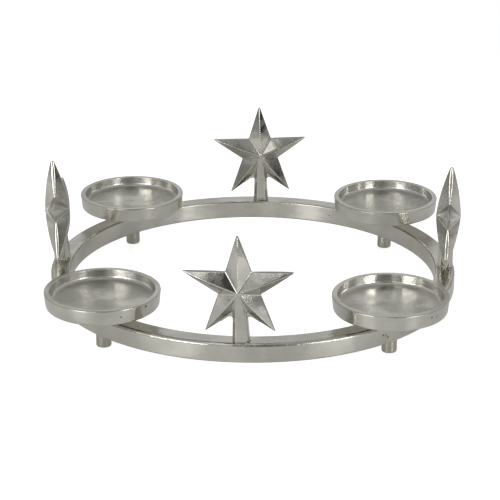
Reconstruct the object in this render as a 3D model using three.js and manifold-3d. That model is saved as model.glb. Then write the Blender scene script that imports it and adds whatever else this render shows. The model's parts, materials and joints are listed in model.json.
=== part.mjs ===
// A table wreath for four pillar candles, in nickel-plated cast aluminium.
// A ring on four feet carries four round candle plates and, between them, four five-pointed stars.
// A threaded stud runs through the ring and draws each plate and its foot together. Each star is
// held by a cap screw from below, whose head and spring washer lie in a pocket under the ring.
//
// Millimetres, +Z up. The origin is on the table, under the middle of the wreath's outer box.
// Threads are plain cylinders.

import * as THREE from 'three';
import { mergeVertices } from 'three/addons/utils/BufferGeometryUtils.js';
import Module from 'manifold-3d';

const wasm = await Module();
wasm.setup();

// Ring
const ringOuterRadius = 182;
const ringWidth = 17.6;
const ringHeight = 17.2;
const ringTopOuterEdgeRadius = 2.4;
const ringTopInnerEdgeRadius = 2;
const ringBottomEdgeRadius = 2;

// Feet
const footRadius = 6.5;
const footLength = 12;
const footSoleEdgeRadius = 1.1;
const footTopEdgeRadius = 0.4;
const footSoleThickness = 3.4;

// Candle plates, each one casting with the neck it stands on
const plateRimRadius = 49.5;
const plateHeight = 13.6;
const plateOuterDraft = 1.3;
const plateInnerDraft = 0.6;
const plateWall = 4.9;
const plateFloorThickness = 5.1;
const plateRimOuterEdgeRadius = 1.5;
const plateRimInnerEdgeRadius = 0.8;
const plateBaseEdgeRadius = 2;
const plateFloorFilletRadius = 2;
const neckRadius = 6.5;
const neckHeight = 8.9;
const neckFilletRadius = 1.5;
const floorOverStud = 3.2;

// Stars, each one casting with its stem
const starArms = 5;
const starTipRadius = 46.9;
const starValleyRadius = 18.4;
const starHalfThickness = 11.3;
const starTipHalfThickness = 1.4;
const starTipHalfWidth = 0.8;
const starEdgeHalfThickness = 0.6;
const starRidgeBulge = 1.2;
const starCentreHeight = 47.4;
const stemBaseWidth = 13.8;
const stemFootFlare = 0.6;
const stemFootFlareHeight = 2.5;
const stemWaistHeight = 24;
const stemWaistWidth = 11.7;
const stemWaistDepth = 12.4;
const stemShoulderDrop = 13;
const stemShoulderWidth = 11.2;
const stemShoulderDepth = 16;
const stemPeakWidth = 1.6;
const stemPeakDrop = 0.6;
const stemCornerCut = 3.1;
const stemWebRadius = 3;
const stemWebThickness = 5;

// Fasteners: M6 studs for the plates, M5 cap screws with spring washers for the stars
const studRadius = 3;
const studEndChamfer = 0.6;
const starScrewRadius = 2.5;
const starScrewGrip = 9.9;
const starScrewHeadRadius = 4.25;
const starScrewHeadHeight = 5;
const starScrewSocketRadius = 2.3;
const starScrewSocketDepth = 2.5;
const starWasherRadius = 4.6;
const starWasherThickness = 1.2;
const starWasherSplit = 0.8;

// Clearances
const threadGap = 0.3;
const holeEndGap = 0.5;
const pocketSideGap = 0.6;
const pocketHeadCover = 0.8;

// Where the pieces stand round the ring, in degrees anticlockwise from +X. The real wreath was put
// together by hand, so each plate sits a little off its eighth of the circle.
const plateAngles = {
  front_left: 225.8,
  front_right: 314.5,
  back_right: 45.4,
  back_left: 135.2,
};

// The stars, fastened by hand too, also differ in how they stand, in degrees: each is turned about
// its stem, anticlockwise from above, leans outward, and tips to its own side, clockwise round the ring.
const starSettings = {
  front: { angle: 269.7, turn: -3, lean: 5.2, tip: 1.4 },
  right: { angle: 0.1, turn: -2.8, lean: 1.8, tip: 1.1 },
  back: { angle: 90.1, turn: 4.9, lean: 0.4, tip: -1.1 },
  left: { angle: 179.8, turn: 1.2, lean: 3.6, tip: -0.6 },
};

// How finely round shapes are divided
const ringSegments = 96;
const plateSegments = 48;
const footSegments = 24;
const fastenerSegments = 16;
const cornerSteps = 2;
const webSteps = 4;

// Cutters run past the faces that they open, and corners closer than this are one corner
const cutterOverrun = 1;
const mergeDistance = 1e-4;

// Heights and radii that follow from the sizes above
const ringTop = footLength + ringHeight;
const ringMiddleRadius = ringOuterRadius - ringWidth / 2;
const studHoleRadius = studRadius + threadGap;
const footHoleDepth = footLength - footSoleThickness;
const neckHoleDepth = neckHeight + plateFloorThickness - floorOverStud;
const starHoleRadius = starScrewRadius + threadGap;
const starHoleDepth = starScrewGrip + holeEndGap;
const pocketRadius = starWasherRadius + pocketSideGap;
const pocketDepth = pocketHeadCover + starScrewHeadHeight + starWasherThickness;
const armAngle = (2 * Math.PI) / starArms;
const topArmAngle = Math.PI / 2;

const castMetal = { color: 0xa8a59d, roughness: 0.28, metalness: 1 };
const fastenerSteel = { color: 0x8f9194, roughness: 0.4, metalness: 1 };

// Turns a closed three.js geometry into a solid that can be joined and cut.
function toSolid(geometry) {
  const bare = geometry.clone();
  bare.deleteAttribute('normal');
  bare.deleteAttribute('uv');
  const merged = mergeVertices(bare, mergeDistance);
  return new wasm.Manifold(new wasm.Mesh({
    numProp: 3,
    vertProperties: new Float32Array(merged.attributes.position.array),
    triVerts: new Uint32Array(merged.index.array),
  }));
}

// Turns a solid back into a geometry.
function toGeometry(solid) {
  const mesh = solid.getMesh();
  const geometry = new THREE.BufferGeometry();
  geometry.setAttribute('position', new THREE.BufferAttribute(mesh.vertProperties, 3));
  geometry.setIndex(new THREE.BufferAttribute(mesh.triVerts, 1));
  geometry.computeVertexNormals();
  return geometry;
}

// Rounds the corners of an outline. Each corner is [x, y] or [x, y, radius].
function roundedOutline(corners, closed) {
  const points = [];
  corners.forEach(([x, y, radius = 0], i) => {
    const isEnd = !closed && (i === 0 || i === corners.length - 1);
    const here = new THREE.Vector2(x, y);
    if (isEnd || radius === 0) {
      points.push(here);
      return;
    }
    const [beforeX, beforeY] = corners.at(i - 1);
    const [afterX, afterY] = corners[(i + 1) % corners.length];
    const toBefore = new THREE.Vector2(beforeX, beforeY).sub(here).normalize();
    const toAfter = new THREE.Vector2(afterX, afterY).sub(here).normalize();
    const halfAngle = Math.acos(THREE.MathUtils.clamp(toBefore.dot(toAfter), -1, 1)) / 2;
    const centre = toBefore.clone().add(toAfter).setLength(radius / Math.sin(halfAngle)).add(here);
    const reach = radius / Math.tan(halfAngle);
    const start = toBefore.multiplyScalar(reach).add(here).sub(centre);
    const end = toAfter.multiplyScalar(reach).add(here).sub(centre);
    const sweep = Math.atan2(start.cross(end), start.dot(end));
    for (let k = 0; k <= cornerSteps; k += 1) {
      const origin = new THREE.Vector2();
      points.push(start.clone().rotateAround(origin, (sweep * k) / cornerSteps).add(centre));
    }
  });
  if (closed) points.push(points[0].clone());
  return points;
}

// Spins an outline, given as distance from the axis and height, about the Z axis.
function turned(corners, segments, closed = false) {
  return new THREE.LatheGeometry(roundedOutline(corners, closed), segments).rotateX(Math.PI / 2);
}

// Joins sections with the same number of corners, from the lowest to the highest, and caps the ends.
// Every section runs anticlockwise as seen from above.
function lofted(sections) {
  const count = sections[0].length;
  const positions = sections.flat().flatMap((corner) => corner.toArray());
  const index = [];
  for (let level = 0; level < sections.length - 1; level += 1) {
    for (let i = 0; i < count; i += 1) {
      const a = level * count + i;
      const b = level * count + ((i + 1) % count);
      index.push(a, b, b + count, a, b + count, a + count);
    }
  }
  const top = (sections.length - 1) * count;
  for (let i = 1; i < count - 1; i += 1) {
    index.push(0, i + 1, i);
    index.push(top, top + i, top + i + 1);
  }
  const geometry = new THREE.BufferGeometry();
  geometry.setAttribute('position', new THREE.Float32BufferAttribute(positions, 3));
  geometry.setIndex(index);
  return geometry;
}

function makeRing() {
  const inner = ringOuterRadius - ringWidth;
  const profile = [
    [inner, footLength, ringBottomEdgeRadius],
    [ringOuterRadius, footLength, ringBottomEdgeRadius],
    [ringOuterRadius, ringTop, ringTopOuterEdgeRadius],
    [inner, ringTop, ringTopInnerEdgeRadius],
  ];
  const studHole = turned([
    [0, footLength - cutterOverrun],
    [studHoleRadius, footLength - cutterOverrun],
    [studHoleRadius, ringTop + cutterOverrun],
    [0, ringTop + cutterOverrun],
  ], fastenerSegments);
  const starHole = turned([
    [0, footLength - cutterOverrun],
    [pocketRadius, footLength - cutterOverrun],
    [pocketRadius, footLength + pocketDepth],
    [starHoleRadius, footLength + pocketDepth],
    [starHoleRadius, ringTop + cutterOverrun],
    [0, ringTop + cutterOverrun],
  ], fastenerSegments);
  let ring = toSolid(turned(profile, ringSegments, true));
  for (const angle of Object.values(plateAngles)) {
    ring = ring.subtract(toSolid(placedOnRing(studHole, angle)));
  }
  for (const { angle } of Object.values(starSettings)) {
    ring = ring.subtract(toSolid(placedOnRing(starHole, angle)));
  }
  return toGeometry(ring);
}

// A copy of a cutter, moved out to the middle of the ring and round to an angle.
function placedOnRing(cutter, angle) {
  return cutter.clone().translate(ringMiddleRadius, 0, 0).rotateZ(THREE.MathUtils.degToRad(angle));
}

// A dish on its neck, with a blind hole for the stud. Its own Z starts at the neck's seat.
function makePlate() {
  const rimTop = neckHeight + plateHeight;
  const floor = neckHeight + plateFloorThickness;
  const innerRim = plateRimRadius - plateWall;
  return turned([
    [0, neckHoleDepth],
    [studHoleRadius, neckHoleDepth],
    [studHoleRadius, 0],
    [neckRadius, 0],
    [neckRadius, neckHeight, neckFilletRadius],
    [plateRimRadius - plateOuterDraft, neckHeight, plateBaseEdgeRadius],
    [plateRimRadius, rimTop, plateRimOuterEdgeRadius],
    [innerRim, rimTop, plateRimInnerEdgeRadius],
    [innerRim - plateInnerDraft, floor, plateFloorFilletRadius],
    [0, floor],
  ], plateSegments);
}

// A round peg with a blind hole from above. It stands on the table.
function makeFoot() {
  return turned([
    [0, 0],
    [footRadius, 0, footSoleEdgeRadius],
    [footRadius, footLength, footTopEdgeRadius],
    [studHoleRadius, footLength],
    [studHoleRadius, footLength - footHoleDepth],
    [0, footLength - footHoleDepth],
  ], footSegments);
}

function makeStud() {
  const length = footHoleDepth + ringHeight + neckHoleDepth - 2 * holeEndGap;
  return turned([
    [0, 0],
    [studRadius - studEndChamfer, 0],
    [studRadius, studEndChamfer],
    [studRadius, length - studEndChamfer],
    [studRadius - studEndChamfer, length],
    [0, length],
  ], fastenerSegments);
}

// The star alone: two low five-sided pyramids back to back, with a thin edge, blunt tips and ridges
// that bow outward halfway along each arm. X runs across it, Y through it and Z up, from the foot of
// its stem.
function makeStarBody() {
  const positions = [];
  const index = [];
  const sides = [-1, 1].map((side) => {
    const add = (radius, angle, across, half) => positions.push([
      radius * Math.cos(angle) - across * Math.sin(angle),
      side * half,
      radius * Math.sin(angle) + across * Math.cos(angle) + starCentreHeight,
    ]) - 1;
    const peak = add(0, 0, 0, starHalfThickness);
    const arms = Array.from({ length: starArms }, (_, k) => {
      const angle = topArmAngle + k * armAngle;
      const ridgeHalf = (starHalfThickness + starTipHalfThickness) / 2 + starRidgeBulge;
      return {
        ridge: add(starTipRadius / 2, angle, 0, ridgeHalf),
        valley: add(starValleyRadius, angle - armAngle / 2, 0, starEdgeHalfThickness),
        tips: [-1, 1].map((end) => add(starTipRadius, angle, end * starTipHalfWidth, starTipHalfThickness)),
      };
    });
    arms.forEach(({ ridge, valley, tips }, k) => {
      const edge = [peak, valley, ...tips, arms[(k + 1) % starArms].valley];
      edge.forEach((corner, i) => {
        const next = edge[(i + 1) % edge.length];
        index.push(ridge, ...(side < 0 ? [corner, next] : [next, corner]));
      });
    });
    return arms.flatMap(({ valley, tips }) => [valley, ...tips]);
  });
  const [front, back] = sides;
  front.forEach((corner, i) => {
    const next = (i + 1) % front.length;
    index.push(corner, back[i], back[next], corner, back[next], front[next]);
  });
  const geometry = new THREE.BufferGeometry();
  geometry.setAttribute('position', new THREE.Float32BufferAttribute(positions.flat(), 3));
  geometry.setIndex(index);
  return geometry;
}

// An eight-sided section of the stem: a rectangle with its corners cut off.
function stemSection(width, depth, height) {
  const cut = Math.min(stemCornerCut, width / 4);
  const quarter = [
    [width / 2, depth / 2 - cut],
    [width / 2 - cut, depth / 2],
  ];
  const mirrored = quarter.map(([x, y]) => [-x, y]).reverse();
  const upper = [...quarter, ...mirrored];
  const lower = upper.map(([x, y]) => [-x, -y]);
  return [...upper, ...lower].map(([x, y]) => new THREE.Vector3(x, y, height));
}

// The stem flares at its foot, narrows upward and runs out in a ridge at the star's two peaks.
function makeStem() {
  const flared = stemBaseWidth + 2 * stemFootFlare;
  const shoulder = starCentreHeight - stemShoulderDrop;
  const peak = starCentreHeight - stemPeakDrop;
  return lofted([
    stemSection(flared, flared, -stemFootFlareHeight),
    stemSection(flared, flared, 0),
    stemSection(stemBaseWidth, stemBaseWidth, stemFootFlareHeight),
    stemSection(stemWaistWidth, stemWaistDepth, stemWaistHeight),
    stemSection(stemShoulderWidth, stemShoulderDepth, shoulder),
    stemSection(stemPeakWidth, 2 * (starHalfThickness - stemPeakDrop), peak),
  ]);
}

// The web that rounds the corner between one side of the stem and the arm above it.
function makeWeb(side) {
  const valley = new THREE.Vector2(0, starCentreHeight - starValleyRadius);
  const tipAngle = topArmAngle - 2 * armAngle;
  const tip = new THREE.Vector2(Math.cos(tipAngle), Math.sin(tipAngle))
    .multiplyScalar(starTipRadius)
    .add(new THREE.Vector2(0, starCentreHeight));
  const along = tip.sub(valley).normalize();
  const outward = new THREE.Vector2(along.y, -along.x);
  const stemSide = stemWaistWidth / 2;
  const centreX = stemSide + stemWebRadius;
  const reach = (centreX - outward.x * stemWebRadius) / along.x;
  const centre = along.clone().multiplyScalar(reach)
    .add(outward.clone().multiplyScalar(stemWebRadius))
    .add(valley);
  const startAngle = Math.atan2(-outward.y, -outward.x);
  const points = [new THREE.Vector2(0, centre.y)];
  for (let k = 0; k <= webSteps; k += 1) {
    const angle = Math.PI + ((startAngle - Math.PI) * k) / webSteps;
    const spoke = new THREE.Vector2(Math.cos(angle), Math.sin(angle));
    points.push(spoke.multiplyScalar(stemWebRadius).add(centre));
  }
  points.push(new THREE.Vector2(0, starCentreHeight));
  const shape = new THREE.Shape(points.map(({ x, y }) => new THREE.Vector2(side * x, y)));
  return new THREE.ExtrudeGeometry(shape, { depth: stemWebThickness, bevelEnabled: false })
    .translate(0, 0, -stemWebThickness / 2)
    .rotateX(Math.PI / 2);
}

// A star on its stem. It leans and tips as one casting, and its foot is cut flat for the ring.
function makeStar({ lean, tip }) {
  let star = toSolid(makeStarBody());
  for (const piece of [makeStem(), makeWeb(-1), makeWeb(1)]) {
    star = star.add(toSolid(piece));
  }
  const set = new THREE.Matrix4()
    .makeRotationX(THREE.MathUtils.degToRad(-lean))
    .multiply(new THREE.Matrix4().makeRotationY(THREE.MathUtils.degToRad(tip)));
  const leaning = toSolid(toGeometry(star).applyMatrix4(set));
  const below = new THREE.BoxGeometry(starTipRadius, starTipRadius, starTipRadius)
    .translate(0, 0, -starTipRadius / 2);
  const hole = turned([
    [0, -cutterOverrun],
    [starHoleRadius, -cutterOverrun],
    [starHoleRadius, starHoleDepth],
    [0, starHoleDepth],
  ], fastenerSegments);
  return toGeometry(leaning.subtract(toSolid(below)).subtract(toSolid(hole)));
}

// A socket cap screw, head down. Its own Z starts under the head's seat.
function makeStarScrew() {
  const length = starWasherThickness + ringHeight - pocketDepth + starScrewGrip;
  return turned([
    [0, starScrewSocketDepth - starScrewHeadHeight],
    [starScrewSocketRadius, starScrewSocketDepth - starScrewHeadHeight],
    [starScrewSocketRadius, -starScrewHeadHeight],
    [starScrewHeadRadius, -starScrewHeadHeight],
    [starScrewHeadRadius, 0],
    [starScrewRadius, 0],
    [starScrewRadius, length],
    [0, length],
  ], fastenerSegments);
}

// A spring washer, split on one side.
function makeStarWasher() {
  const washer = toSolid(turned([
    [starHoleRadius, 0],
    [starWasherRadius, 0],
    [starWasherRadius, starWasherThickness],
    [starHoleRadius, starWasherThickness],
  ], fastenerSegments, true));
  const splitHeight = starWasherThickness + 2 * cutterOverrun;
  const split = new THREE.BoxGeometry(2 * starWasherRadius, starWasherSplit, splitHeight)
    .translate(starWasherRadius, 0, starWasherThickness / 2);
  return toGeometry(washer.subtract(toSolid(split)));
}

function makeMesh(name, geometry, look, height = 0) {
  const mesh = new THREE.Mesh(geometry, new THREE.MeshStandardMaterial(look));
  mesh.name = name;
  mesh.position.z = height;
  return mesh;
}

// A place on the middle of the ring: +Y there points outward, and a turn adds to it.
function makeStation(angle, turn = 0) {
  const station = new THREE.Group();
  const radians = THREE.MathUtils.degToRad(angle);
  station.position.set(ringMiddleRadius * Math.cos(radians), ringMiddleRadius * Math.sin(radians), 0);
  station.rotation.z = radians - Math.PI / 2 + THREE.MathUtils.degToRad(turn);
  return station;
}

const wreath = new THREE.Group();
wreath.add(makeMesh('ring', makeRing(), castMetal));

for (const [place, angle] of Object.entries(plateAngles)) {
  const station = makeStation(angle);
  station.add(makeMesh(`foot_${place}`, makeFoot(), castMetal));
  station.add(makeMesh(`plate_stud_${place}`, makeStud(), fastenerSteel, footSoleThickness + holeEndGap));
  station.add(makeMesh(`plate_${place}`, makePlate(), castMetal, ringTop));
  wreath.add(station);
}

const washerBottom = footLength + pocketDepth - starWasherThickness;
for (const [place, setting] of Object.entries(starSettings)) {
  const station = makeStation(setting.angle, setting.turn);
  station.add(makeMesh(`star_screw_${place}`, makeStarScrew(), fastenerSteel, washerBottom));
  station.add(makeMesh(`star_washer_${place}`, makeStarWasher(), fastenerSteel, washerBottom));
  station.add(makeMesh(`star_${place}`, makeStar(setting), castMetal, ringTop));
  wreath.add(station);
}

// The stars' leans differ, so the wreath is moved to have its outer box in the middle.
const middle = new THREE.Box3().setFromObject(wreath, true).getCenter(new THREE.Vector3());
wreath.position.set(-middle.x, -middle.y, 0);

export default wreath;
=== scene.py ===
# %% [markdown]
# This notebook dresses a table wreath for four pillar candles. The wreath is a ring on four feet,
# with four dishes and four stars, all cast in aluminium, polished by hand and nickel plated.
#
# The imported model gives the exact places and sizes. Polished metal shows its shape mostly by what
# its edges and faces reflect, so each visible piece is modelled again here with finer edges. The
# studs, screws and washers inside stay as they are and only get their steel.

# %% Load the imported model
import json
import math

import bmesh
import bpy
from mathutils import Matrix, Vector

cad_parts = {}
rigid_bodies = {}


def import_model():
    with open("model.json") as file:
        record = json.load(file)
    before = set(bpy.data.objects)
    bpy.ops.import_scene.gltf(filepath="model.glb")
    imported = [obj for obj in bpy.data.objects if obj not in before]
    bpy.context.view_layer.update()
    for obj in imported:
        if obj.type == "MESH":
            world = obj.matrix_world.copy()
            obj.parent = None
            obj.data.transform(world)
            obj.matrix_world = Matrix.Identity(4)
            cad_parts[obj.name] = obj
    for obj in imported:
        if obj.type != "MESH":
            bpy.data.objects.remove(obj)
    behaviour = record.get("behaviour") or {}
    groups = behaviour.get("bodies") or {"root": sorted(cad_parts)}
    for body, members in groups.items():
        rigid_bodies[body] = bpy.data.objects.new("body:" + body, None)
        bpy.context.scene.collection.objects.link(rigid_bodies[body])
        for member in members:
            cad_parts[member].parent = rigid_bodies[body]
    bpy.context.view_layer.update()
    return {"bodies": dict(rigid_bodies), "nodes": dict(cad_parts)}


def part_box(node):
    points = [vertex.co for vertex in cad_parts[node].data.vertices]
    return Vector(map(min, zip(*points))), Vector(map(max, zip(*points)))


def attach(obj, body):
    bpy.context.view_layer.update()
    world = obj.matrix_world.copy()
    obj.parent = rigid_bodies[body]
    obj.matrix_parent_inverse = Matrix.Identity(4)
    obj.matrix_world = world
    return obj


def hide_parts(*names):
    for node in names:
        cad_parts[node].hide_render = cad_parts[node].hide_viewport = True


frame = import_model()
MM = 0.001
print("packed model:", len(frame["nodes"]), "nodes")

# %% [markdown]
# The camera comes first, because the framing decides how fine the work has to be. It stands a good
# step and a half away with a long lens, so that the ring stays a calm ellipse. It is placed by its
# direction and distance from the middle of the ring, and then tilted up a little, because the ring
# lies a little below the middle of the picture.

# %% Camera
ring_low, ring_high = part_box("ring")
ring_centre = (ring_low + ring_high) / 2
table_middle = Vector((ring_centre.x, ring_centre.y, 0))

camera_side = math.radians(2.771)
camera_height = math.radians(22.457)
camera_tilt = math.radians(1.321)
camera_swing = math.radians(0.093)
camera_distance = 1664.5 * MM
picture_width = 500
focal_pixels = 1825.2

towards_camera = Vector((
    math.sin(camera_side) * math.cos(camera_height),
    -math.cos(camera_side) * math.cos(camera_height),
    math.sin(camera_height),
))
bpy.ops.object.camera_add(
    location=table_middle + camera_distance * towards_camera,
    rotation=(math.pi / 2 - camera_height + camera_tilt, 0, camera_side + camera_swing),
)
camera = bpy.context.object
camera.name = "camera"
camera.data.lens = camera.data.sensor_width * focal_pixels / picture_width
bpy.context.scene.camera = camera
print("camera at", [round(v, 3) for v in camera.location], "lens", round(camera.data.lens, 1), "mm")

# %% [markdown]
# Most pieces of the wreath are turned shapes: ring, dishes and feet all look the same from every
# side of their axis. Such a shape could be built from cylinders with inset and extruded faces, but
# then every rounding has its own edge loops to look after. It is easier to draw half of the section
# once, as a line that starts from a single point and grows by extruding, to round its corners with
# a vertex bevel, and to spin it once round the axis.

# %% Picking parts of a mesh by their place
def pick(piece, kind, test):
    """In edit mode, selects the vertices, edges or faces whose middle passes a test."""
    bpy.ops.mesh.select_mode(type=kind)
    bpy.ops.mesh.select_all(action="DESELECT")
    mesh = bmesh.from_edit_mesh(piece.data)
    parts = {"VERT": mesh.verts, "EDGE": mesh.edges, "FACE": mesh.faces}[kind]
    count = 0
    for part in parts:
        corners = [part] if kind == "VERT" else part.verts
        middle = sum((corner.co for corner in corners), Vector()) / len(corners)
        if test(middle):
            part.select_set(True)
            count += 1
    mesh.select_flush_mode()
    bmesh.update_edit_mesh(piece.data)
    return count


def start_piece(name, place):
    """Makes an object of one vertex at a place, and leaves it in edit mode."""
    bpy.ops.object.select_all(action="DESELECT")
    bpy.ops.mesh.primitive_plane_add(size=MM)
    piece = bpy.context.object
    piece.name = name
    bpy.ops.object.mode_set(mode="EDIT")
    bpy.ops.mesh.merge(type="CENTER")
    bpy.ops.transform.translate(value=place)
    return piece


# %% Drawing an outline and rounding its corners
NEAR = 0.01 * MM


def draw_outline(name, origin, corners, closed, steps=6):
    """Draws corners (across, up, rounding), in mm from an origin, as a line in the XZ plane."""
    places = [origin + Vector((across, 0, up)) * MM for across, up, *_ in corners]
    piece = start_piece(name, places[0])
    path = places[1:] + places[:1] if closed else places[1:]
    here = places[0]
    for place in path:
        bpy.ops.mesh.extrude_vertices_move(TRANSFORM_OT_translate={"value": place - here})
        here = place
    bpy.ops.mesh.select_all(action="SELECT")
    bpy.ops.mesh.remove_doubles(threshold=NEAR)
    for number, (place, (_, _, *rounding)) in enumerate(zip(places, corners)):
        if rounding:
            before = places[number - 1] - place
            after = places[(number + 1) % len(places)] - place
            reach = rounding[0] * MM / math.tan(before.angle(after) / 2)
            pick(piece, "VERT", lambda spot: (spot - place).length < NEAR)
            bpy.ops.mesh.bevel(offset=reach, segments=steps, affect="VERTICES")
    return piece


def close_up(piece):
    """Merges what meets, points all faces outwards, and leaves edit mode."""
    bpy.ops.mesh.select_mode(type="VERT")
    bpy.ops.mesh.select_all(action="SELECT")
    bpy.ops.mesh.remove_doubles(threshold=NEAR)
    bpy.ops.mesh.normals_make_consistent(inside=False)
    bpy.ops.object.mode_set(mode="OBJECT")
    return piece


def turn_piece(name, axis, corners, closed, turns):
    """Spins an outline, drawn beside an upright axis, once round it."""
    piece = draw_outline(name, axis, corners, closed)
    bpy.ops.mesh.select_all(action="SELECT")
    bpy.ops.mesh.spin(steps=turns, angle=2 * math.pi, center=axis, axis=(0, 0, 1))
    return close_up(piece)


# %% [markdown]
# A rounded edge next to a large flat face needs care. Smooth shading averages the two directions
# where they meet, so the flat face looks swollen. The Weighted Normal modifier lets the large face
# win, and the rounding alone turns the reflection.

# %% Finishing a piece
piece_body = next(iter(frame["bodies"]))


def apply_modifier(piece, kind, **settings):
    """Adds a modifier with its settings and applies it at once."""
    bpy.ops.object.select_all(action="DESELECT")
    piece.select_set(True)
    bpy.context.view_layer.objects.active = piece
    modifier = piece.modifiers.new(kind.lower(), kind)
    for setting, value in settings.items():
        setattr(modifier, setting, value)
    bpy.ops.object.modifier_apply(modifier=modifier.name)


def shade(piece):
    """Smooth shading in which the large faces keep their own direction."""
    bpy.ops.object.select_all(action="DESELECT")
    piece.select_set(True)
    bpy.context.view_layer.objects.active = piece
    bpy.ops.object.shade_smooth()
    apply_modifier(piece, "WEIGHTED_NORMAL", weight=100)


def take_place_of(piece, node):
    """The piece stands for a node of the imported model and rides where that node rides."""
    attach(piece, piece_body)
    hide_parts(node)
    print(piece.name, "for", node, "-", len(piece.data.polygons), "faces")


# %% [markdown]
# The ring is like a bar of nearly square section bent to a circle, cast in one piece. Its outer
# upper edge is broken more softly than the inner one, because the polishing wheel reaches it best.
# The bar is drilled for the four studs, and has four stepped holes for the star screws, whose heads
# lie in pockets below. The holes are cut with a Boolean modifier, one cutter for all of them.

# %% Ring
RING_WIDTH = 17.6
RING_TURNS = 288
ring_outer = (ring_high.x - ring_low.x) / 2 / MM
ring_inner = ring_outer - RING_WIDTH
ring_bottom = ring_low.z / MM
ring_top = ring_high.z / MM
ring_middle = (ring_outer + ring_inner) / 2

ring = turn_piece(
    "wreath_ring",
    table_middle,
    [
        (ring_inner, ring_bottom, 2),
        (ring_outer, ring_bottom, 2),
        (ring_outer, ring_top, 3.2),
        (ring_inner, ring_top, 1.6),
    ],
    closed=True,
    turns=RING_TURNS,
)
ring_height = round(ring_top - ring_bottom, 1)
print("ring across", round(2 * ring_outer, 1), "mm, section", RING_WIDTH, "x", ring_height, "mm")

# %% Holes in the ring
PLACES = ("front_left", "front_right", "back_right", "back_left")
SIDES = ("front", "right", "back", "left")
STUD_HOLE = 3.3
SCREW_HOLE = 2.8
SCREW_POCKET = 5.2
POCKET_DEPTH = 7


def middle_of(node):
    """The middle of a node's box, in metres."""
    low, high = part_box(node)
    return (low + high) / 2


def drill(place, radius, low, high):
    """A round cutter between two heights, in mm."""
    bpy.ops.mesh.primitive_cylinder_add(
        vertices=32,
        radius=radius * MM,
        depth=(high - low) * MM,
        location=(place.x, place.y, (low + high) / 2 * MM),
    )
    return bpy.context.object


cutters = []
bpy.ops.object.select_all(action="DESELECT")
for place in PLACES:
    cutters.append(drill(middle_of("plate_stud_" + place), STUD_HOLE, ring_bottom - 1, ring_top + 1))
for side in SIDES:
    screw = middle_of("star_screw_" + side)
    cutters.append(drill(screw, SCREW_POCKET, ring_bottom - 1, ring_bottom + POCKET_DEPTH))
    cutters.append(drill(screw, SCREW_HOLE, ring_bottom + POCKET_DEPTH - 1, ring_top + 1))
for cutter in cutters:
    cutter.select_set(True)
bpy.context.view_layer.objects.active = cutters[0]
bpy.ops.object.join()
drills = bpy.context.object
apply_modifier(ring, "BOOLEAN", operation="DIFFERENCE", solver="EXACT", object=drills, use_self=True)
bpy.data.objects.remove(drills)
print("holes cut by", len(cutters), "round cutters")
shade(ring)
take_place_of(ring, "ring")

# %% [markdown]
# A foot is a short round peg whose sole is softly rounded, so that it doesn't scratch the table. It
# has a blind hole from above for the stud.

# %% Feet
SOLE_ROUNDING = 1.3
FOOT_FLOOR = 3.4
feet = []
for place in PLACES:
    low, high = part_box("foot_" + place)
    radius = (high.x - low.x) / 2 / MM
    length = high.z / MM
    foot = turn_piece(
        "wreath_foot_" + place,
        Vector((middle_of("foot_" + place).x, middle_of("foot_" + place).y, 0)),
        [
            (0, 0),
            (radius, 0, SOLE_ROUNDING),
            (radius, length, 0.4),
            (STUD_HOLE, length),
            (STUD_HOLE, FOOT_FLOOR),
            (0, FOOT_FLOOR),
        ],
        closed=False,
        turns=64,
    )
    shade(foot)
    take_place_of(foot, "foot_" + place)
    feet.append(foot)

# %% [markdown]
# Each candle dish stands on a short neck. Its wall leans out a little, so that it leaves the mould,
# and its rim was turned flat, which leaves a crisp inner and a softer outer edge. Inside, a fillet
# leads from the wall to the floor. The whole section is one line from the bottom of the stud hole,
# round the outside and back to the middle of the floor.

# %% Candle dishes
DISH_HEIGHT = 13.6
FLOOR_THICKNESS = 5.1
RIM_WIDTH = 4.9
OUTER_LEAN = 1.3
INNER_LEAN = 0.6
FLOOR_FILLET = 3.2
NECK_RADIUS = 6.5
HOLE_DEPTH = 3.2
dishes = []
for place in PLACES:
    low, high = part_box("plate_" + place)
    seat = low.z / MM
    rim = high.z / MM
    radius = (high.x - low.x) / 2 / MM
    under = rim - DISH_HEIGHT
    floor = under + FLOOR_THICKNESS
    dish = turn_piece(
        "wreath_dish_" + place,
        Vector((middle_of("plate_" + place).x, middle_of("plate_" + place).y, 0)),
        [
            (0, floor - HOLE_DEPTH),
            (STUD_HOLE, floor - HOLE_DEPTH),
            (STUD_HOLE, seat),
            (NECK_RADIUS, seat),
            (NECK_RADIUS, under, 1.5),
            (radius - OUTER_LEAN, under, 2),
            (radius, rim, 1.1),
            (radius - RIM_WIDTH, rim, 0.6),
            (radius - RIM_WIDTH - INNER_LEAN, floor, FLOOR_FILLET),
            (0, floor),
        ],
        closed=False,
        turns=160,
    )
    shade(dish)
    take_place_of(dish, "plate_" + place)
    dishes.append(dish)

# %% [markdown]
# The star is the piece that needs the most modelling. It starts as a fan of triangles round a middle
# point, like a ten-sided coin. Every second corner moves in to become a valley, and the middle comes
# forward to a peak. The legs are a little longer than the arms, the left one most, because the
# pattern for the mould was cut by hand.
#
# Flat facets would each mirror one spot of the room and look dead. On the real star every facet is
# slightly domed, darker at one end than at the other. So the fan starts too flat, is divided finely,
# and its middle is pulled the rest of the way with proportional editing. The falloff called inverse
# square adds a parabola, which bows ridges and facets alike. The valleys start behind the star's
# middle plane, because the pull takes them along.
#
# X runs across the star, Y through it and Z up, from the foot of its stem.

# %% Star, first the two pyramids
STAR_REACH = 48.8
STAR_VALLEY = 18.4
STAR_PEAK = 11.3
STAR_DOME = 7.0
STAR_EDGE = 0.6
STAR_MIDDLE = 48.0
STAR_BLUNT = 47.8
star_centre = Vector((0, 0, STAR_MIDDLE * MM))
ARM = 2 * math.pi / 5


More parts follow.
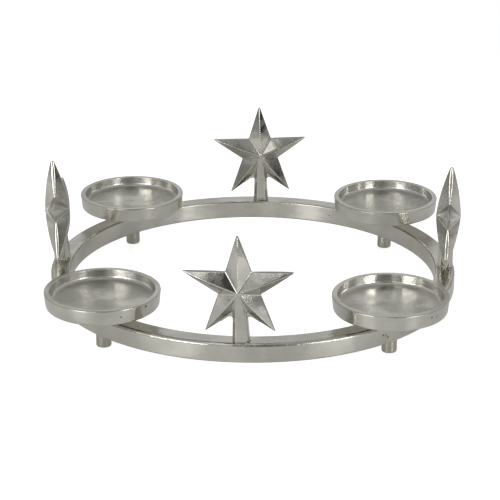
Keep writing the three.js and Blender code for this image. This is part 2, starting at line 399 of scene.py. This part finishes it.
def across_star(spot):
    """Distance from the star's middle, and the angle round it from straight up."""
    offset = spot - star_centre
    return math.hypot(offset.x, offset.z) / MM, math.atan2(offset.x, offset.z)


def is_valley(spot):
    reach, angle = across_star(spot)
    return reach > 1 and abs(angle / ARM - round(angle / ARM)) > 0.25


bpy.ops.object.select_all(action="DESELECT")
bpy.ops.mesh.primitive_circle_add(
    vertices=10,
    radius=STAR_REACH * MM,
    fill_type="TRIFAN",
    location=star_centre,
    rotation=(math.pi / 2, 0, 0),
)
star = bpy.context.object
star.name = "star"
bpy.ops.object.transform_apply()
bpy.ops.object.mode_set(mode="EDIT")
taken_along = STAR_DOME * (1 - (STAR_VALLEY / STAR_REACH) ** 2)
pick(star, "VERT", is_valley)
bpy.ops.transform.resize(value=(STAR_VALLEY / STAR_REACH,) * 3, center_override=star_centre)
bpy.ops.transform.translate(value=(0, (taken_along - STAR_EDGE) * MM, 0))
pick(star, "VERT", lambda spot: across_star(spot)[0] > STAR_REACH - 1)
bpy.ops.transform.translate(value=(0, -STAR_EDGE * MM, 0))
pick(star, "VERT", lambda spot: spot.z < 20 * MM)
bpy.ops.transform.translate(value=(0, 0, -0.3 * MM))
pick(star, "VERT", lambda spot: spot.z < 20 * MM and spot.x < 0)
bpy.ops.transform.translate(value=(-1.3 * MM, 0, -0.6 * MM))
pick(star, "VERT", lambda spot: across_star(spot)[0] < 1)
bpy.ops.transform.translate(value=(0, -(STAR_PEAK - STAR_DOME) * MM, 0))

# %% Star, the domed facets
bpy.ops.mesh.select_all(action="SELECT")
bpy.ops.mesh.subdivide(number_cuts=47)
pick(star, "VERT", lambda spot: across_star(spot)[0] < 0.1)
bpy.ops.transform.translate(
    value=(0, -STAR_DOME * MM, 0),
    use_proportional_edit=True,
    proportional_edit_falloff="INVERSE_SQUARE",
    proportional_size=STAR_REACH * MM,
)
middle_forward = min(vertex.co.y for vertex in bmesh.from_edit_mesh(star.data).verts)
print("star peak", round(-middle_forward / MM, 1), "mm in front of its middle plane")

# %% Star, its edge and its other side
bpy.ops.mesh.select_mode(type="EDGE")
bpy.ops.mesh.select_non_manifold(extend=False)
bpy.ops.transform.resize(value=(1, 0.45, 1), center_override=(0, 0, 0))
bpy.ops.mesh.extrude_region_move(TRANSFORM_OT_translate={"value": (0, 20 * MM, 0)})
bpy.ops.transform.resize(value=(1, 0, 1), center_override=(0, 0, 0))
bpy.ops.object.mode_set(mode="OBJECT")
apply_modifier(star, "MIRROR", use_axis=(False, True, False), use_clip=True, merge_threshold=NEAR)
bpy.ops.object.mode_set(mode="EDIT")
close_up(star)

# %% [markdown]
# The sharp ends of the arms were broken on the wheel. A short round bar through the star, a little
# smaller than the reach of the arms, keeps only what lies inside it, which a Boolean modifier does
# as an intersection.

# %% Star, the blunt ends
bpy.ops.object.select_all(action="DESELECT")
bpy.ops.mesh.primitive_cylinder_add(
    vertices=128,
    radius=STAR_BLUNT * MM,
    depth=60 * MM,
    location=star_centre - Vector((0.6 * MM, 0, 1.5 * MM)),
    rotation=(math.pi / 2, 0, 0),
)
bar = bpy.context.object
apply_modifier(star, "BOOLEAN", operation="INTERSECT", solver="EXACT", object=bar)
bpy.data.objects.remove(bar)
print("star with blunt ends:", len(star.data.vertices), "corners")

# %% [markdown]
# The stem is an upright bar with its corners cut off. It flares at the foot, narrows upward, and runs
# out in a ridge that meets the peak of the star on both sides. It starts as a cube whose upright
# edges are bevelled once, and grows upward by extruding its top face and scaling each new step.

# %% Star, its stem
STEM_STEPS = (
    # height, width, depth
    (0, 15, 15),
    (2.5, 13.8, 13.8),
    (24, 11.7, 12.4),
    (34.4, 11.2, 16),
    (46.8, 1.6, 21.4),
)
bpy.ops.object.select_all(action="DESELECT")
bpy.ops.mesh.primitive_cube_add(size=15 * MM, location=(0, 0, -7.5 * MM))
stem = bpy.context.object
bpy.ops.object.transform_apply()
bpy.ops.object.mode_set(mode="EDIT")
pick(stem, "EDGE", lambda spot: abs(abs(spot.x) - abs(spot.y)) < NEAR and abs(spot.x) > 7 * MM)
bpy.ops.mesh.bevel(offset=3.1 * MM, segments=1)
pick(stem, "FACE", lambda spot: spot.z > -NEAR)
height, width, depth = STEM_STEPS[0]
for next_height, next_width, next_depth in STEM_STEPS[1:]:
    rise = (0, 0, (next_height - height) * MM)
    growth = (next_width / width, next_depth / depth, 1)
    bpy.ops.mesh.extrude_region_move(TRANSFORM_OT_translate={"value": rise})
    bpy.ops.transform.resize(value=growth, center_override=(0, 0, 0))
    height, width, depth = next_height, next_width, next_depth
close_up(stem)
print("stem:", len(stem.data.vertices), "corners")

# %% [markdown]
# Where the arms meet the stem, the casting is filled with a small web, so that the corner doesn't
# tear in the mould. Its outline follows the stem and both lower arms, and a vertex bevel on the two
# inner corners gives the hollow rounding.

# %% Star, the webs under its arms
arm_slope = (STAR_REACH * math.cos(2 * ARM) + STAR_VALLEY) / (STAR_REACH * math.sin(2 * ARM))


def under_arm(across):
    """Height of the lower edge of an arm at a distance from the stem's middle."""
    return STAR_MIDDLE - STAR_VALLEY + arm_slope * across


WEB_REACH = 16
HALF_STEM = 5.85
web = draw_outline(
    "web",
    Vector(),
    [
        (-WEB_REACH, under_arm(WEB_REACH)),
        (-HALF_STEM, under_arm(HALF_STEM), 3),
        (-HALF_STEM, 16),
        (HALF_STEM, 16),
        (HALF_STEM, under_arm(HALF_STEM), 3),
        (WEB_REACH, under_arm(WEB_REACH)),
        (0, STAR_MIDDLE),
    ],
    closed=True,
    steps=10,
)
bpy.ops.mesh.select_all(action="SELECT")
bpy.ops.mesh.edge_face_add()
bpy.ops.transform.translate(value=(0, -2.5 * MM, 0))
bpy.ops.mesh.extrude_region_move(TRANSFORM_OT_translate={"value": (0, 5 * MM, 0)})
close_up(web)
print("web:", len(web.data.vertices), "corners")

# %% [markdown]
# The three closed shapes lie in each other. A voxel remesh makes one skin round all of them, with
# faces under half a millimetre, and a Smooth modifier then softens every ridge and crease by about
# as much as polishing does. Bevels on the sharp shape would give cleaner ridges, but not the soft
# run from stem to arm. The faces along the outline get a second material slot, because the wheel
# reaches that edge better than the facets.

# %% Star, one skin
bpy.ops.object.select_all(action="DESELECT")
for part in (star, stem, web):
    part.select_set(True)
bpy.context.view_layer.objects.active = star
bpy.ops.object.join()
apply_modifier(star, "REMESH", mode="VOXEL", voxel_size=0.4 * MM)
apply_modifier(star, "SMOOTH", factor=0.5, iterations=8)
bpy.ops.object.shade_smooth()
star.data.materials.clear()
star.data.materials.append(None)
star.data.materials.append(None)
bpy.ops.object.mode_set(mode="EDIT")


def is_on_edge(spot):
    """Near the middle plane, and not on the stem."""
    return abs(spot.y) < MM and (abs(spot.x) > 7 * MM or spot.z > 50 * MM)


on_edge = pick(star, "FACE", is_on_edge)
star.active_material_index = 1
bpy.ops.object.material_slot_assign()
bpy.ops.object.mode_set(mode="OBJECT")
print("star skin:", len(star.data.polygons), "faces,", on_edge, "of them on the outline's edge")

# %% [markdown]
# The four stars come from one mould but were fastened by hand, so each is turned, leans and tips by
# a few degrees, and the front one has its other side out. Every copy is set in its place, cut flat
# where it sits on the ring, and drilled for its screw. Its lowest edge is drawn in a little, which
# leaves a fine dark seam between casting and ring.

# %% Stars in their places
STAR_SETTINGS = {
    # degrees: place round the ring, turn about the stem, lean outward, tip sideways, side turned out
    "front": (269.7, -3.0, 5.2, 1.4, 180),
    "right": (0.1, -2.8, 1.8, 1.1, 0),
    "back": (90.1, 4.9, 0.4, -1.1, 0),
    "left": (179.8, 1.2, 3.6, -0.6, 0),
}
SEAM_WIDTH_LEFT = 0.89
SEAM_HEIGHT = 1.2
SCREW_DEPTH = 10.4
stars = []
for side, settings in STAR_SETTINGS.items():
    around, turn, lean, tip, turned_out = (math.radians(value) for value in settings)
    copy = star.copy()
    copy.data = star.data.copy()
    copy.name = "wreath_star_" + side
    bpy.context.collection.objects.link(copy)
    foot_place = table_middle + ring_middle * MM * Vector((math.cos(around), math.sin(around), 0))
    copy.matrix_world = (
        Matrix.Translation(foot_place + Vector((0, 0, ring_top * MM)))
        @ Matrix.Rotation(around - math.pi / 2 + turn, 4, "Z")
        @ Matrix.Rotation(-lean, 4, "X")
        @ Matrix.Rotation(tip, 4, "Y")
        @ Matrix.Rotation(turned_out, 4, "Z")
    )
    bpy.ops.object.select_all(action="DESELECT")
    copy.select_set(True)
    bpy.context.view_layer.objects.active = copy
    bpy.ops.object.transform_apply()
    bpy.ops.object.mode_set(mode="EDIT")
    bpy.ops.mesh.select_all(action="SELECT")
    bpy.ops.mesh.bisect(
        plane_co=(0, 0, ring_top * MM), plane_no=(0, 0, 1), clear_inner=True, use_fill=True
    )
    pick(copy, "VERT", lambda spot: spot.z < ring_top * MM + NEAR)
    bpy.ops.transform.resize(
        value=(SEAM_WIDTH_LEFT, SEAM_WIDTH_LEFT, 1),
        center_override=foot_place + Vector((0, 0, ring_top * MM)),
        use_proportional_edit=True,
        proportional_edit_falloff="SPHERE",
        proportional_size=SEAM_HEIGHT * MM,
    )
    bpy.ops.object.mode_set(mode="OBJECT")
    hole = drill(foot_place, SCREW_HOLE, ring_top - 1, ring_top + SCREW_DEPTH)
    apply_modifier(copy, "BOOLEAN", operation="DIFFERENCE", solver="EXACT", object=hole)
    bpy.data.objects.remove(hole)
    take_place_of(copy, "star_" + side)
    stars.append(copy)
bpy.data.objects.remove(star)

# %% [markdown]
# The finishes are put together from nodes. Writing the sums of a pattern as Python expressions keeps
# them readable, so a small class wraps an output socket: adding or multiplying two of them adds the
# Math node that does it.

# %% Writing shader sums
class Wire:
    """An output socket that can be used in sums."""

    def __init__(self, tree, socket):
        self.tree = tree
        self.socket = socket

    def maths(self, operation, *values):
        return add_node(self.tree, "ShaderNodeMath", {"operation": operation}, dict(enumerate(values)))

    def __add__(self, other):
        return self.maths("ADD", self, other)

    def __sub__(self, other):
        return self.maths("SUBTRACT", self, other)

    def __rsub__(self, other):
        return self.maths("SUBTRACT", other, self)

    def __mul__(self, other):
        return self.maths("MULTIPLY", self, other)

    __radd__ = __add__
    __rmul__ = __mul__


def add_node(tree, kind, settings=None, inputs=None, output=0):
    """Adds any node: its settings first, then the values or links of its sockets."""
    node = tree.nodes.new(kind)
    for setting, value in (settings or {}).items():
        setattr(node, setting, value)
    for socket, value in (inputs or {}).items():
        if isinstance(value, Wire):
            tree.links.new(value.socket, node.inputs[socket])
        else:
            node.inputs[socket].default_value = value
    return Wire(tree, node.outputs[output]) if node.outputs else None


def ramp(value, low, high):
    """Goes softly from 0 to 1 while a value goes from low to high."""
    return add_node(
        value.tree,
        "ShaderNodeMapRange",
        {"interpolation_type": "SMOOTHSTEP"},
        {"Value": value, "From Min": low, "From Max": high},
    )


def noise(tree, place, size, detail=2.0, roughness=0.5):
    """Noise whose lumps are about as large as a size in mm."""
    return add_node(
        tree,
        "ShaderNodeTexNoise",
        {"noise_dimensions": "3D"},
        {"Vector": place, "Scale": 1 / (size * MM), "Detail": detail, "Roughness": roughness},
    )


def new_tree(name):
    """An empty material and its node tree."""
    material = bpy.data.materials.new(name)
    material.use_nodes = True
    material.node_tree.nodes.clear()
    return material, material.node_tree


# %% [markdown]
# Nickel on cast aluminium is a warm light grey. The wheel never makes it quite even: broad waves
# bend the reflections, and a grain from the sand mould stays under the plating and glitters where
# something bright or dark is mirrored. Both are bump, because a real displacement of that size
# would need millions of faces. A few pinholes are dark dots with a dent.
#
# The wheel reaches the outside of the dishes and the ring well, and the facets of the stars. It
# hardly reaches the floors of the dishes, which stay sandy, while their walls are the least handled
# and the smoothest. The walls' tone is painted lighter, a painted highlight that makes the soft
# boxes they mirror come out whiter. The feet's tone is painted darker, painted shade for their place
# under the ring. So the same recipe is mixed six times, with more or less grain, waves, roughness
# and painted light.

# %% Nickel plate
NICKEL = (0.636, 0.622, 0.56)
NICKEL_DEEP = (0.545, 0.535, 0.48)
PIT = (0.06, 0.057, 0.05, 1)
PINHOLE_SPACING = 26
FLAWS = (
    # place in mm, then size: two pits on each front dish, and a scar on the ring
    ((-80.3, -151.1, 48.7), 1.3),
    ((-99.3, -166.3, 45.1), 0.9),
    ((159.4, -153.1, 45.7), 1.1),
    ((155.3, -157.5, 46.7), 0.9),
    ((116.2, -138.7, 21.4), 1.0),
    ((118.8, -136.6, 20.2), 0.9),
    ((120.4, -135.2, 18.2), 0.8),
)


def lift(tone, painted_light):
    """A tone with painted light: lifted towards white by a share of the way, or darkened as painted
    shade by a negative share.
    """
    return (*(part + painted_light * (1 - part) for part in tone), 1)


def finish_metal(name, grain_depth, wave_depth, roughness, grain_size=1.3, painted_light=0.0):
    """Plated metal; its grain and waves are in mm, and its painted light lifts the two tones towards
    white, or darkens them as painted shade where it is negative.
    """
    smoothest, roughest = roughness
    material, tree = new_tree(name)
    place = add_node(tree, "ShaderNodeTexCoord", output="Object")
    grain = noise(tree, place, grain_size, detail=2.0, roughness=0.6)
    waves = noise(tree, place, 12, detail=1.0)
    clouds = noise(tree, place, 30, detail=3.0)
    pins = add_node(
        tree,
        "ShaderNodeTexVoronoi",
        {"feature": "F1"},
        {"Vector": place, "Scale": 1 / (PINHOLE_SPACING * MM), "Randomness": 1.0},
        output="Distance",
    )
    pinhole = 1 - ramp(pins, 0.012, 0.03)
    for spot, size in FLAWS:
        away = add_node(
            tree,
            "ShaderNodeVectorMath",
            {"operation": "DISTANCE"},
            {0: place, 1: Vector(spot) * MM},
            output="Value",
        )
        ragged = away + (4 * MM) * (grain - 0.5)
        pinhole = pinhole + (1 - ramp(ragged, 0.4 * size * MM, size * MM))
    worn = ramp(clouds, 0.35, 0.65)
    height = (0.35 + 1.3 * worn) * grain_depth * grain + wave_depth * waves - 0.3 * pinhole
    bump = add_node(tree, "ShaderNodeBump", {}, {"Height": height, "Strength": 1.0, "Distance": MM})
    tone = add_node(
        tree,
        "ShaderNodeMix",
        {"data_type": "RGBA"},
        {"Factor": worn, 6: lift(NICKEL, painted_light), 7: lift(NICKEL_DEEP, painted_light)},
        output=2,
    )
    colour = add_node(
        tree,
        "ShaderNodeMix",
        {"data_type": "RGBA"},
        {"Factor": pinhole, 6: tone, 7: PIT},
        output=2,
    )
    rough = smoothest + (roughest - smoothest) * worn
    shader = add_node(
        tree,
        "ShaderNodeBsdfPrincipled",
        {},
        {"Base Color": colour, "Metallic": 1.0, "Roughness": rough, "Normal": bump},
    )
    add_node(tree, "ShaderNodeOutputMaterial", {}, {"Surface": shader})
    print(name, "- grain", grain_depth, "mm, waves", wave_depth, "mm, roughness", roughness)
    return material


def dress(piece, material):
    """Gives a whole piece one material."""
    piece.data.materials.clear()
    piece.data.materials.append(material)


polished = finish_metal("nickel_polished", grain_depth=0.17, wave_depth=0.4, roughness=(0.09, 0.14))
star_metal = finish_metal(
    "nickel_star", grain_depth=0.08, wave_depth=0.4, roughness=(0.04, 0.08), grain_size=0.95
)
edge_metal = finish_metal("nickel_edge", grain_depth=0.05, wave_depth=0.3, roughness=(0.09, 0.14))
# The feet's tone is painted darker: painted shade for the shade under the ring.
foot_painted_shade = finish_metal(
    "nickel_foot_painted_shade", grain_depth=0.3, wave_depth=0.3, roughness=(0.12, 0.18), painted_light=-0.22
)
dish_floor = finish_metal("nickel_dish_floor", grain_depth=0.4, wave_depth=0.35, roughness=(0.2, 0.26))
# The walls' tone is painted lighter: a painted highlight, so that the soft boxes they mirror come out
# whiter.
wall_painted_highlight = finish_metal(
    "nickel_wall_painted_highlight", grain_depth=0.1, wave_depth=0.5, roughness=(0.03, 0.06), painted_light=0.3
)
dress(ring, polished)
for piece in stars:
    piece.data.materials[0] = star_metal
    piece.data.materials[1] = edge_metal
for piece in feet:
    dress(piece, foot_painted_shade)

# %% [markdown]
# Inside a dish, the wall gets the smoothest finish, with its tone painted lighter as a painted
# highlight, down into the top of its fillet. The rest of the fillet and the floor get the sandy one.
# The faces are found by how far they are from the wall.

# %% Dishes, their walls and floors
WALL_BAND = 0.9
WHOLE_FLOOR = 60
SLACK = 0.1


def assign_inside(dish, place, material, low, high):
    """Gives a material to the faces inside a dish between two distances from its wall, in mm."""
    middle = middle_of("plate_" + place)
    box_low, box_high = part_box("plate_" + place)
    wall = (box_high.x - box_low.x) / 2 - (RIM_WIDTH - SLACK) * MM
    floor = box_high.z - (DISH_HEIGHT - FLOOR_THICKNESS + SLACK) * MM
    dish.data.materials.append(material)
    bpy.ops.object.select_all(action="DESELECT")
    dish.select_set(True)
    bpy.context.view_layer.objects.active = dish
    bpy.ops.object.mode_set(mode="EDIT")

    def is_there(spot):
        from_wall = wall - math.hypot(spot.x - middle.x, spot.y - middle.y)
        return spot.z > floor and low * MM <= from_wall < high * MM

    found = pick(dish, "FACE", is_there)
    dish.active_material_index = len(dish.data.materials) - 1
    bpy.ops.object.material_slot_assign()
    bpy.ops.object.mode_set(mode="OBJECT")
    print(dish.name, "-", material.name, "on", found, "faces")


for place, dish in zip(PLACES, dishes):
    dress(dish, polished)
    assign_inside(dish, place, wall_painted_highlight, 0, WALL_BAND)
    assign_inside(dish, place, dish_floor, WALL_BAND, WHOLE_FLOOR)

# %% [markdown]
# The studs, screws and washers are plain zinc-plated steel. They hardly show, but the pockets under
# the ring are open, so they get a turned grain of their own.

# %% Fastener steel
steel, tree = new_tree("fastener_steel")
place = add_node(tree, "ShaderNodeTexCoord", output="Object")
turning = noise(tree, place, 0.6, detail=2.0)
patches = noise(tree, place, 5, detail=2.0)
colour = add_node(
    tree,
    "ShaderNodeMix",
    {"data_type": "RGBA"},
    {"Factor": patches, 6: (0.42, 0.43, 0.44, 1), 7: (0.31, 0.32, 0.33, 1)},
    output=2,
)
bump = add_node(tree, "ShaderNodeBump", {}, {"Height": 0.01 * turning, "Strength": 1.0, "Distance": MM})
shader = add_node(
    tree,
    "ShaderNodeBsdfPrincipled",
    {},
    {"Base Color": colour, "Metallic": 1.0, "Roughness": 0.3 + 0.15 * patches, "Normal": bump},
)
add_node(tree, "ShaderNodeOutputMaterial", {}, {"Surface": shader})
FASTENERS = ("plate_stud", "star_screw", "star_washer")
fasteners = [node for name, node in frame["nodes"].items() if name.startswith(FASTENERS)]
for node in fasteners:
    dress(node, steel)
print("steel on", len(fasteners), "fasteners")

# %% [markdown]
# The wreath stands on a round white lacquered table, 1.76 m across. The camera sees the table and
# the room behind it as plain white, with a faint shadow under the ring. Metal shows what it
# mirrors, so for glossy rays the table is the pale grey that it has under these lamps. Its gloss
# matters too: it mirrors the soft boxes towards the wreath, and the dark horizon where it is seen
# at a flat angle.

# %% Table
TABLE_RADIUS = 0.88
bpy.ops.object.select_all(action="DESELECT")
bpy.ops.mesh.primitive_circle_add(vertices=192, radius=TABLE_RADIUS, fill_type="NGON")
table = bpy.context.object
table.name = "table"
material, tree = new_tree("white_table")
to_camera = add_node(tree, "ShaderNodeLightPath", output="Is Camera Ray")
to_metal = add_node(tree, "ShaderNodeLightPath", output="Is Glossy Ray")
place = add_node(tree, "ShaderNodeTexCoord", output="Object")
distance = add_node(tree, "ShaderNodeVectorMath", {"operation": "LENGTH"}, {0: place}, output="Value")
lacquer = add_node(
    tree,
    "ShaderNodeBsdfPrincipled",
    {},
    {"Base Color": (0.78, 0.78, 0.78, 1), "Roughness": 0.22, "IOR": 1.5},
)
# its own light grows towards the rim, which leaves nothing of the rim but white
far = ramp(distance, 0.3, 0.85)
shown = to_camera * (0.76 + 0.5 * far) + to_metal * (0.14 + 0.2 * far)
glow = add_node(tree, "ShaderNodeEmission", {}, {"Color": (1, 1, 1, 1), "Strength": shown})
both = add_node(tree, "ShaderNodeAddShader", {}, {0: lacquer, 1: glow})
add_node(tree, "ShaderNodeOutputMaterial", {}, {"Surface": both})
dress(table, material)
print("table", 2 * TABLE_RADIUS, "m across")

# %% [markdown]
# Two soft boxes stand upright beyond the table's edge, left and right of the camera. They are what
# the walls inside the dishes mirror as white patches, and what lights the left and right sides of
# the ring. Between them is a dark gap that runs from the camera's side up over the wreath. The gap
# draws the dark line along the upper edge of the ring, and the dark patch on each arm of a star.

# %% Lamps
def add_soft_box(name, low_end, high_end, width, brightness):
    """A long rectangular lamp between two points that faces the wreath."""
    low_end, high_end = Vector(low_end), Vector(high_end)
    place = (low_end + high_end) / 2
    length = (high_end - low_end).length
    bpy.ops.object.light_add(type="AREA", location=place)
    lamp = bpy.context.object
    lamp.name = name
    lamp.data.shape = "RECTANGLE"
    lamp.data.size = width
    lamp.data.size_y = length
    lamp.data.energy = brightness * math.pi * width * length
    along = (high_end - low_end).normalized()
    aim = -place.normalized()
    aim = (aim - aim.dot(along) * along).normalized()
    lamp.rotation_euler = Matrix((along.cross(-aim), along, -aim)).transposed().to_euler()
    lamp.visible_camera = False
    print(name, width, "x", round(length, 2), "m,", round(lamp.data.energy, 2), "W")


add_soft_box("soft_box_left", (-0.8, -1.1, 0.25), (-0.72, -0.9, 0.72), 0.62, 3.2)
add_soft_box("soft_box_right", (1.02, -1.02, 0.19), (0.96, -0.96, 0.72), 0.42, 4.1)

# %% [markdown]
# The rest of the room is the world. It is an even grey, a little lighter behind the wreath, with
# three things in it. Along the horizon, where the table ends, it is darker, and most of all in one
# spot far right. The dark gap between the soft boxes, with one faint light in it, grows narrower
# upwards and ends in a lighter ceiling. And a few bright cards stand around the lens: a small one
# beside it for the edges of the side stars, one high on the left for the outer halves of the front
# star's arms, and one on each side. Below the horizon, beyond the table, the floor is a little
# lighter than the horizon. Only the mirrored directions matter here, and the camera itself sees
# white.

# %% World, directions and round patches
world = bpy.data.worlds.new("studio")
bpy.context.scene.world = world
world.use_nodes = True
tree = world.node_tree
tree.nodes.clear()
direction = add_node(tree, "ShaderNodeTexCoord", output="Generated")


def facing(towards):
    """How far the mirrored direction points towards a direction, from -1 to 1."""
    return add_node(
        tree,
        "ShaderNodeVectorMath",
        {"operation": "DOT_PRODUCT"},
        {0: direction, 1: towards},
        output="Value",
    )


def patch(azimuth, height, size):
    """1 inside a round patch of the room, 0 outside it, in degrees; azimuth 0 is the camera's side."""
    azimuth, height = math.radians(azimuth), math.radians(height)
    towards = (
        math.sin(azimuth) * math.cos(height),
        -math.cos(azimuth) * math.cos(height),
        math.sin(height),
    )
    outer_edge = math.cos(math.radians(1.3 * size))
    inner_edge = math.cos(math.radians(0.7 * size))
    return ramp(facing(towards), outer_edge, inner_edge)


def distance_from_zero(value):
    return value.maths("ABSOLUTE", value)


# %% World, its even grey and the horizon
up = facing((0, 0, 1))
side = distance_from_zero(facing((1, 0, 0)))
horizon = 1 - ramp(up, 0.13, 0.24)
level = (0.5 + 0.12 * patch(180, 28, 20)) * (1 - horizon * (0.25 + 0.25 * side))

# %% World, the gap between the soft boxes
across = facing((1, 0.2, 0)) + 0.05
half_gap = 0.15 + 0.2 * (1 - up)
from_gap = distance_from_zero(across) - half_gap
behind = ramp(facing((0, 1, 0)), 0.55, 0.8)
gap = (1 - ramp(from_gap, -0.08, 0.1)) * (1 - behind)
gap_level = 0.04 + 0.36 * (1 - up) * (1 - up) + 0.25 * patch(4, 33, 6)
gap_level = gap_level + 0.28 * ramp(up, 0.78, 0.92) + 0.2 * ramp(up, 0.92, 0.99)
level = level + gap * (gap_level - level)

# %% World, the cards, the dark spot and the floor beyond the table
CARDS = (
    # azimuth, height and size in degrees, then how much brighter; the last one is the dark spot
    (-9, 17, 5, 1.0),
    (-21, 57, 8, 0.8),
    (66, 17, 9, 0.4),
    (-62, 20, 6, 0.4),
    (82, 6, 7, -0.22),
)
for azimuth, height, size, brighter in CARDS:
    level = level + brighter * patch(azimuth, height, size)
level = level + 0.17 * (1 - ramp(up, -0.07, 0.02))
to_camera = add_node(tree, "ShaderNodeLightPath", output="Is Camera Ray")
background = add_node(
    tree,
    "ShaderNodeBackground",
    {},
    {"Color": (1, 1, 1, 1), "Strength": to_camera + (1 - to_camera) * level},
)
add_node(tree, "ShaderNodeOutputWorld", {}, {"Surface": background})
bpy.context.scene.view_settings.view_transform = "Standard"
print("room:", len(CARDS), "cards and spots in", len(tree.nodes), "nodes")
